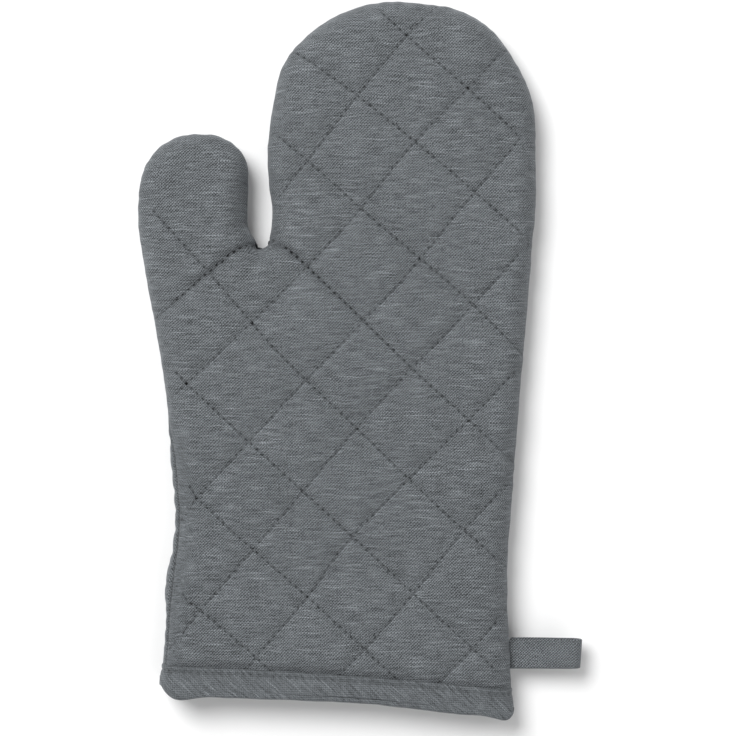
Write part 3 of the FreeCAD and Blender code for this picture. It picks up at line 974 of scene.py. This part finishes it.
def make_lining(name, side):
    points, normals = coarse_panel.layer(side, LINING_DEPTH)
    dip = 0.9 * soft_dip(1.0) - 0.15 * wander(coarse_panel.plan, 12, side)
    points = fit_under_binding(points + normals * dip[:, None])
    piece = new_piece(name, points, panel_faces(coarse_panel, -side))
    set_values(piece.data, "cloth", coarse_panel.unrolled())
    # Painted shade along the quilted lines, where the lining is pressed in
    set_values(piece.data, "painted_shade", 0.5 * bell(coarse_panel.gap, 1.5))
    mark_thumb(piece, coarse_panel, lining_cloth)
    subdivide(piece)
    return divide(piece, name)


def make_pad(name, side, thumb):
    """A closed pad between shell and lining, over the hand's or the thumb's part of a panel."""
    outer, normals = coarse_panel.layer(side, PAD_TOP)
    inner, _ = coarse_panel.layer(side, PAD_BOTTOM)
    points = np.vstack([outer - normals * soft_dip(1.3)[:, None], inner])
    points[:, 2] += PAD_APART * side
    count = len(outer)
    marked = zip(panel_faces(coarse_panel, side), coarse_panel.thumb)
    upper = [face for face, flag in marked if flag == thumb]
    directed = {(a, b) for face in upper for a, b in zip(face, face[1:] + face[:1])}
    rim = sorted((a, b) for a, b in directed if (b, a) not in directed)
    faces = upper + [[v + count for v in face[::-1]] for face in upper]
    faces += [[b, a, a + count, b + count] for a, b in rim]
    used = sorted({v for face in faces for v in face})
    renumber = {old: new for new, old in enumerate(used)}
    faces = [[renumber[v] for v in face] for face in faces]
    piece = new_piece(name, fit_under_binding(points)[used], faces)
    set_values(piece.data, "cloth", np.vstack([coarse_panel.unrolled()] * 2)[used])
    return piece


for side_name, side in SIDES.items():
    parts = [make_pad(f"{side_name}_pad_{name}", side, name == "thumb") for name in PARTS]
    finish_layer(parts, wadding_felt, f"{side_name}_wadding")
    parts = make_lining(f"{side_name}_lining_cloth", side)
    finish_layer(parts, lining_cloth, f"{side_name}_lining")


# --- Stitches ---

STITCH_PARTS = np.linspace(-0.5, 0.5, 7)
STITCH_HEIGHTS = np.array([-0.42, -0.02, 0.12, 0.14, 0.12, -0.02, -0.42])
STITCH_THICKNESS = np.array([0.55, 0.9, 1.0, 1.0, 1.0, 0.9, 0.55])


def tube_faces(rows, wide, first=0, closed=True):
    """Faces round a tube made of rows of points, and its two ends if it is closed."""
    end = first + (rows - 1) * wide
    faces = []
    for low in range(first, end, wide):
        for j in range(wide):
            a, b = low + j, low + (j + 1) % wide
            faces.append([a, a + wide, b + wide, b])
    if closed:
        faces += [list(range(first, first + wide)), list(range(end, end + wide))[::-1]]
    return faces


def stitch_mesh(name, laid, radius=THREAD_RADIUS):
    """Short bent lengths of thread, each given as 7 points and the cloth's normals there."""
    sides = 7
    turns = np.linspace(0, 2 * math.pi, sides, endpoint=False)
    points, faces, cloth = [], [], []
    for path, up in laid:
        ahead = unit_rows(np.gradient(path, axis=0))
        across = unit_rows(np.cross(ahead, up))
        upward = np.cross(across, ahead)
        lengths = lengths_along(path)
        faces += tube_faces(len(path), sides, len(points))
        for k, thickness in enumerate(STITCH_THICKNESS):
            for turn in turns:
                reach = across[k] * math.cos(turn) + upward[k] * math.sin(turn)
                points.append(path[k] + reach * radius * thickness)
                cloth.append((lengths[k], turn * radius))
    piece = new_piece(name, np.array(points), faces)
    set_values(piece.data, "cloth", np.array(cloth))
    return piece


def stitches_along(curve, pitch):
    """The 7 points in the plane of each stitch along a line, in one array a stitch."""
    lengths = lengths_along(curve)
    centres = np.arange(pitch / 2, lengths[-1], pitch)
    return follow(curve, lengths, centres[:, None] + STITCH_PARTS * STITCH_LENGTH)


def lie_on_cloth(stitch, tree, side, flattest, low, high):
    """A stitch's points and normals on finished cloth, or None where it would hang off it."""
    start_z = (SEAM_Z + side * 3 * HALF) * MM
    way = Vector((0, 0, -side))
    path, ups = [], []
    for (x, y), height in zip(stitch, STITCH_HEIGHTS):
        hit, normal, _, _ = tree.ray_cast(Vector((x * MM, y * MM, start_z)), way)
        if hit is None or abs(normal.z) < flattest:
            return None
        up = np.array(normal) * (1 if normal.z * side > 0 else -1)
        path.append(np.array(hit) / MM + up * height)
        ups.append(up)
    path = np.array(path)
    path[:, 2] = np.clip(path[:, 2], low, high)
    return path, np.array(ups)


thumb_seam = SEAM[fine_panel.thumb_from : fine_panel.thumb_to + 1]
THUMB_BORDER = np.vstack([thumb_seam, smooth_line(CREASE, 1.0)[::-1]])
TOP_Z = 2 * SEAM_Z


def lay_quilting(side_name):
    """All quilting stitches of one panel: the hand's, and the thumb's."""
    laid = [], []
    for curve in FALLING_CURVES + RISING_CURVES + [CREASE_CURVE]:
        stitches = stitches_along(curve, STITCH_PITCH)
        middles = stitches[:, 3]
        shown = inside(middles, SEAM) & (SEAM_LINES.nearest(middles)[0] > 1.5)
        shown &= middles[:, 1] > binding_top(middles[:, 0]) + 1.5
        on_thumb = inside(middles, THUMB_BORDER) & (curve is not CREASE_CURVE)
        for stitch, thumb in zip(stitches[shown], on_thumb[shown]):
            cloth = (shell_trees[side_name], SIDES[side_name], 0.35, FLOOR_CLEARANCE - 0.1, np.inf)
            found = lie_on_cloth(stitch, *cloth)
            if found is not None:
                laid[int(thumb)].append(found)
    return laid


def lay_seam_stitches():
    """Stitches in the groove between the panels, from the cuff round to the cuff."""
    cos, sin = np.cos(SEAM_ROLL)[:, None], np.sin(SEAM_ROLL)[:, None]
    outward = np.hstack([-SEAM_INWARD * cos, sin])
    plan = SEAM + SEAM_INWARD * EDGE_RADIUS * (1 - cos)
    line = np.hstack([plan, SEAM_Z + HALF * sin]) - outward * 0.62
    lengths = lengths_along(line)
    first, last = lengths[fine_panel.thumb_from], lengths[fine_panel.thumb_to]
    laid = [], []
    for centre in np.arange(SEAM_PITCH, lengths[-1] - SEAM_PITCH, SEAM_PITCH):
        marks = centre + STITCH_PARTS * 1.7
        path, up = follow(line, lengths, marks), follow(outward, lengths, marks)
        x, y, _ = path[3]
        under_loop = x > 0 and tail_low[1] - 1 < y < tail_high[1] + 1
        if not under_loop and y >= binding_top(x) + 1:
            stitch = path + up * STITCH_HEIGHTS[:, None] * 0.5
            laid[int(first <= centre <= last)].append((stitch, up))
    return laid


def sew(laid, stem, nodes, material, radius=THREAD_RADIUS):
    """The hand's part and the thumb's part of some stitching."""
    parts = [stitch_mesh(f"{stem}_{name}", some, radius) for name, some in zip(PARTS, laid)]
    finish_pair(parts, material, [f"{nodes}_palm", f"{nodes}_fingers"], [f"{nodes}_thumb"])


for side_name in SIDES:
    stem = f"{side_name}_quilting"
    sew(lay_quilting(side_name), f"{stem}_thread", stem, grey_thread)
laid = lay_seam_stitches()
sew(laid, "side_seam_thread", "side_seam_stitching", seam_thread, 0.22)


# --- Binding ---

# The tape's path over the cuff's edge: distance below the top edge (positive) or above the bottom
# edge (negative), and depth below the shell's outer face
TAPE_OUTSIDE = [
    (0.35, 0.3), (0.0, -0.1), (0.12, -0.55), (0.6, -0.8), (1.3, -0.82), (1.9, -0.6), (2.4, -0.42),
    (2.9, -0.6), (3.6, -0.85), (5.0, -0.98), (6.8, -1.0), (8.6, -0.98), (10.4, -0.95),
]
TAPE_UNDER = [
    (-3.2, -0.92), (-1.9, -0.85), (-0.9, -0.6), (-0.25, 0.1), (0.0, 1.2), (0.0, 2.5), (0.0, 3.8),
    (0.0, 5.0), (-0.25, 6.0), (-0.9, 6.65), (-1.9, 6.9), (-3.2, 6.95),
]
TAPE_INSIDE = [
    (10.4, 6.95), (8.0, 6.95), (5.5, 6.95), (3.4, 6.92), (2.4, 6.75), (1.4, 6.9), (0.5, 6.9),
    (0.1, 6.6), (0.3, 6.3),
]
TOPSTITCH_DROP = 2.4
BIAS = 0.75
FLAT_PARTS = 118
RIM_PARTS = 22


def cuff_ring():
    """Places round the cuff: how far across the flat, 0 to 1, and the angle round the edge."""
    rim = np.linspace(-QUARTER, QUARTER, RIM_PARTS, endpoint=False)
    flat = np.linspace(0, 1, FLAT_PARTS, endpoint=False)
    across = np.concatenate([np.zeros(RIM_PARTS), flat, np.ones(RIM_PARTS), 1 - flat])
    angle = np.concatenate([rim, np.full(FLAT_PARTS, QUARTER), -rim, np.full(FLAT_PARTS, -QUARTER)])
    return across, angle


RING_ACROSS, RING_ANGLE = cuff_ring()
RING_SIDE = np.where(RING_ACROSS < 0.5, -1, 1)


def on_cuff(y, depth):
    """The ring round the cuff at one height and depth: x and z of each of its points."""
    inner, outer = cuff_sides(y)
    left = inner + EDGE_RADIUS
    right = outer - EDGE_RADIUS
    proud = np.where(depth < 0, depth + 0.45 * np.cos(RING_ANGLE), depth)
    reach = (EDGE_RADIUS - proud) * np.cos(RING_ANGLE)
    reach = np.where(np.abs(RING_ANGLE) < QUARTER, reach, 0)
    x = left + (right - left) * RING_ACROSS + RING_SIDE * reach
    return x, SEAM_Z + (HALF - depth) * np.sin(RING_ANGLE)


def make_binding():
    """Bias tape folded over the raw edge, puckered along its topstitching."""
    marks = [(*place, True) for place in TAPE_OUTSIDE] + [(*place, False) for place in TAPE_UNDER]
    marks += [(*place, True) for place in TAPE_INSIDE]
    count, wide = len(marks), len(RING_ANGLE)
    rows = []
    for mark, depth, from_top in marks:
        level = BINDING_TOP + 1 - mark if from_top else BINDING_BOTTOM + 3 - mark
        x, z = on_cuff(np.full(wide, level), depth)
        y = binding_top(x) - mark if from_top else binding_bottom(x) - mark
        rows.append(np.column_stack([x, y, z]))
    points = np.vstack(rows)
    travelled = lengths_along(np.array(rows)[:, FLAT_PARTS // 2 + RIM_PARTS])
    ring_length = lengths_along(np.vstack([rows[0], rows[0][:1]]))[:-1]
    cloth = np.column_stack([np.tile(ring_length, count), np.repeat(-travelled, wide)])
    normal = np.column_stack([RING_SIDE * np.cos(RING_ANGLE), np.zeros(wide), np.sin(RING_ANGLE)])
    cos, sin = math.cos(BIAS), math.sin(BIAS)
    slanted = cloth @ np.array([[cos, -sin], [sin, cos]])
    ripple = 0.26 * wander(slanted / [3.2, 1.0], 3.4, 6.1) + 0.2 * wander(cloth, 17, 2.9)
    free = [bell(mark - 7.5, 5) if top else bell(mark, 3.5) for mark, _, top in marks]
    sign = [1.0 if depth < 0.5 else -1.0 for _, depth, _ in marks]
    ripple = ripple * np.repeat(free, wide) * np.repeat(sign, wide)
    points += np.tile(normal, (count, 1)) * ripple[:, None]
    points[:, 1] += 0.25 * wander(np.column_stack([cloth[:, 0], points[:, 2] * 0.3]), 8, 7.7)
    points[:, 2] = np.clip(points[:, 2], 0.1, TOP_Z - 0.1)
    piece = new_piece("bias_binding", points, tube_faces(count, wide, closed=False))
    set_values(piece.data, "cloth", cloth)
    # Painted shade: along the topstitched line and in its needle holes, and along the tape's top edge
    # where it meets the shell
    stitched = [bell(mark - TOPSTITCH_DROP, 0.9) if top else 0.0 for mark, _, top in marks]
    edge = [bell(mark, 0.35) if top else 0.0 for mark, _, top in marks]
    set_values(piece.data, "stitched", np.repeat(stitched, wide))
    set_values(piece.data, "edge", np.repeat(edge, wide))
    subdivide(piece)
    mesh = piece.data
    line, dark = get_numbers(mesh, "stitched"), get_numbers(mesh, "edge")
    hole = line * hole_wave(get_vectors(mesh, "cloth")[:, 0])
    move_points(mesh, get_points(mesh) - get_normals(mesh) * (0.35 * hole)[:, None])
    # The painted shade of the holes, the topstitched line and the top edge, stored for the material
    set_values(mesh, "painted_shade", np.clip(0.6 * hole + 0.15 * line + 0.9 * dark, 0, 1))
    return piece


binding = make_binding()
dress(binding, binding_cloth)
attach(binding, "hand")
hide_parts("cuff_binding")


def lay_topstitches():
    """The stitches that hold the binding, on its outer faces."""
    tree = BVHTree.FromObject(binding, bpy.context.evaluated_depsgraph_get())
    inner, outer = cuff_sides(BINDING_TOP)
    x = np.arange(inner + 3.5, outer - 3.5, STITCH_PITCH / 6)
    curve = np.column_stack([x, binding_top(x) - TOPSTITCH_DROP])
    laid = []
    for side in SIDES.values():
        cloth = (tree, side, 0, THREAD_RADIUS, TOP_Z - THREAD_RADIUS)
        laid += [lie_on_cloth(stitch, *cloth) for stitch in stitches_along(curve, STITCH_PITCH)]
    return [stitch for stitch in laid if stitch is not None]


topstitches = stitch_mesh("binding_topstitch_thread", lay_topstitches())
dress(topstitches, grey_thread)
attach(topstitches, "hand")
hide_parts("binding_stitching")


# --- Hanging loop ---

LOOP_TAPE = 1.3
LOOP_WIDTH = 0.91 * (loop_high[1] - loop_low[1])
LOOP_MIDDLE = (loop_low[1] + loop_high[1]) / 2 - 1.2
LOOP_RADIUS = (loop_high[2] - loop_low[2]) / 2
LOOP_ROOT = tail_high[0] - 1.6
LOOP_LEAN = 0.075


def loop_path():
    """The middle of the tape in the x and z plane: out along the top, round the end and back."""
    radius = LOOP_RADIUS - LOOP_TAPE / 2
    centre = loop_high[0] - LOOP_RADIUS
    start = np.array([LOOP_ROOT, LOOP_TAPE / 2])
    lean = math.asin((radius - start[1]) / (centre - start[0]))
    angles = np.linspace(QUARTER + lean, 0, 12)
    end = np.column_stack([centre + radius * np.cos(angles), radius * np.sin(angles)])
    run = np.linspace(start, end[0], 22, endpoint=False)
    upper = np.vstack([run, end])
    return np.vstack([upper, (upper * [1, -1])[::-1][1:]])


def tape_section():
    """Round the tape's cross-section: across its width, and through its thickness."""
    half, thick, corner = LOOP_WIDTH / 2, LOOP_TAPE / 2, 0.5
    end = half - corner
    across = np.linspace(-end, end, 19)
    turns = np.linspace(QUARTER, -QUARTER, 6)[1:-1]
    right = np.column_stack([end + corner * np.cos(turns), (thick - 0.02) * np.sin(turns)])
    top = np.column_stack([across, np.full(len(across), thick)])
    return np.vstack([top, right, -top, -right])


def make_loop():
    path = loop_path()
    ahead = unit_rows(np.gradient(path, axis=0))
    outward = np.column_stack([-ahead[:, 1], ahead[:, 0]])
    lengths = lengths_along(path)
    section = tape_section()
    round_section = lengths_along(np.vstack([section, section[:1]]))[:-1]
    half = LOOP_WIDTH / 2
    points, cloth, dark = [], [], []
    for k, (place, out) in enumerate(zip(path, outward)):
        from_root = place[0] - LOOP_ROOT
        slip = 0.9 * smoothstep(0.55, 1.0, k / (len(path) - 1)) + LOOP_LEAN * from_root
        root = 1 - smoothstep(0, 6, from_root)
        at_hole = hole_wave(lengths[k], SEAM_PITCH)
        for (across, through), round_at in zip(section, round_section):
            near_edge = smoothstep(half - 2.2, half, abs(across))
            from_row = abs(across) - half + 1.5
            squeeze = through * (1 - 0.12 * bell(from_row, 0.6))
            x, z = place + out * squeeze
            points.append((x, LOOP_MIDDLE + across + slip, SEAM_Z + z))
            cloth.append((lengths[k], round_at))
            # Painted shade at the root, where the tape goes into the seam, and in the needle holes of
            # its stitched rows; also darker towards the tape's edges
            row = bell(from_row, 0.45) * at_hole
            dark.append(0.45 * root + 0.5 * row + 0.1 * near_edge)
    points = np.array(points)
    points[:, 2] += 0.18 * wander(points[:, :2], 7, 4.2)
    piece = new_piece("hanging_loop_tape", points, tube_faces(len(path), len(section)))
    set_values(piece.data, "cloth", np.array(cloth))
    set_values(piece.data, "painted_shade", np.clip(np.array(dark), 0, 1))
    subdivide(piece)
    return piece


def make_tail():
    """The loop's two ends, caught between the panels in the side seam."""
    section = tape_section() * [0.97, 0.82]
    places = np.linspace(tail_low[0], tail_high[0], 8)
    points, faces, cloth = [], [], []
    for level in (-1, 1):
        faces += tube_faces(len(places), len(section), len(points))
        middle = SEAM_Z + level * LOOP_TAPE / 2
        for x in places:
            points += [(x, LOOP_MIDDLE + across, middle + through) for across, through in section]
            cloth += [(x, across) for across, _ in section]
    piece = new_piece("hanging_loop_ends", np.array(points), faces)
    set_values(piece.data, "cloth", np.array(cloth))
    return piece


loop = make_loop()
dress(loop, loop_cloth)
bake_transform(loop)
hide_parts("hanging_loop")
tail = make_tail()
dress(tail, loop_cloth)
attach(tail, "hand")
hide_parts("loop_tail")


# --- Floor, light and camera ---

FLOOR_REACH = 4000


def make_floor():
    corners = np.array([(-1, -1, 0), (1, -1, 0), (1, 1, 0), (-1, 1, 0)]) * FLOOR_REACH
    floor = new_piece("floor", corners, [[0, 1, 2, 3]])
    graph = Graph("pale_floor")
    pale = (0.93, 0.93, 0.93, 1)
    floor.data.materials.append(
        graph.finish(Base_Color=pale, Roughness=0.9, Specular_IOR_Level=0.1)
    )


def make_area_light(name, place, size, power):
    data = bpy.data.lights.new(name, "AREA")
    data.shape = "DISK"
    data.size = size
    data.energy = power
    light = bpy.data.objects.new(name, data)
    light.location = place
    light.rotation_euler = (-Vector(place)).to_track_quat("-Z", "Y").to_euler()
    bpy.context.scene.collection.objects.link(light)


def make_lights():
    make_area_light("key_light", (-0.66, 0.66, 1.48), 1.0, 29)
    make_area_light("fill_light", (1.2, -0.9, 1.6), 1.6, 7)
    world = bpy.data.worlds.new("studio")
    world.use_nodes = True
    background = world.node_tree.nodes["Background"]
    background.inputs["Color"].default_value = (1, 1, 1, 1)
    background.inputs["Strength"].default_value = 0.42
    bpy.context.scene.world = world


def make_camera():
    """Straight above, turned as the mitt lies in the picture, with a long lens."""
    width, lens, sensor = 328.9, 120, 36
    centre = (1.9, -5.0)
    data = bpy.data.cameras.new("camera")
    data.lens = lens
    data.sensor_width = sensor
    camera = bpy.data.objects.new("camera", data)
    height = SEAM_Z + width * lens / sensor
    camera.location = (centre[0] * MM, centre[1] * MM, height * MM)
    camera.rotation_euler = (0, 0, GRAIN)
    bpy.context.scene.collection.objects.link(camera)
    bpy.context.scene.camera = camera


make_floor()
make_lights()
make_camera()
bpy.context.scene.view_settings.view_transform = "Standard"
